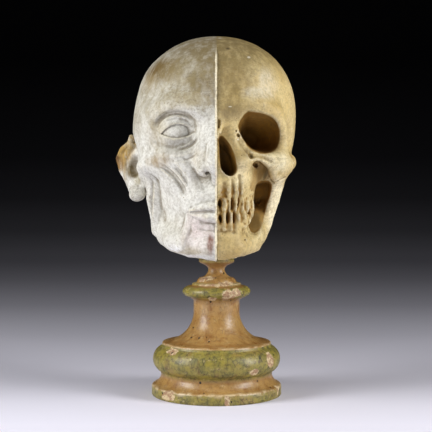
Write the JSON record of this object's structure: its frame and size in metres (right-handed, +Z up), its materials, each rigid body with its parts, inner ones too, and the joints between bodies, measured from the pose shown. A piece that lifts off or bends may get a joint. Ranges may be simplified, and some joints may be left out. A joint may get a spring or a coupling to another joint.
{
  "type": "ecorche figure",
  "caption": "Painted anatomical head, one half of the face flayed muscle and the other bare skull, on a turned and marbled wooden socle.",
  "frame": {"origin": "middle of the socle's flat underside, on the turning axis", "axes": "+Z up along the turning axis, the face looks towards -Y, the flayed half with the ear is towards -X and the skull half towards +X"},
  "size_m": [0.1693, 0.1993, 0.3305],
  "materials": {
    "painted_plaster": "painted plaster under a thin wax, satin",
    "marbled_wood": "ochre and green marbling on gessoed wood, varnished, worn and chipped"
  },
  "bodies": {
    "root": {"ecorche_head": "painted_plaster", "turned_socle": "marbled_wood"}
  },
  "joints": []
}
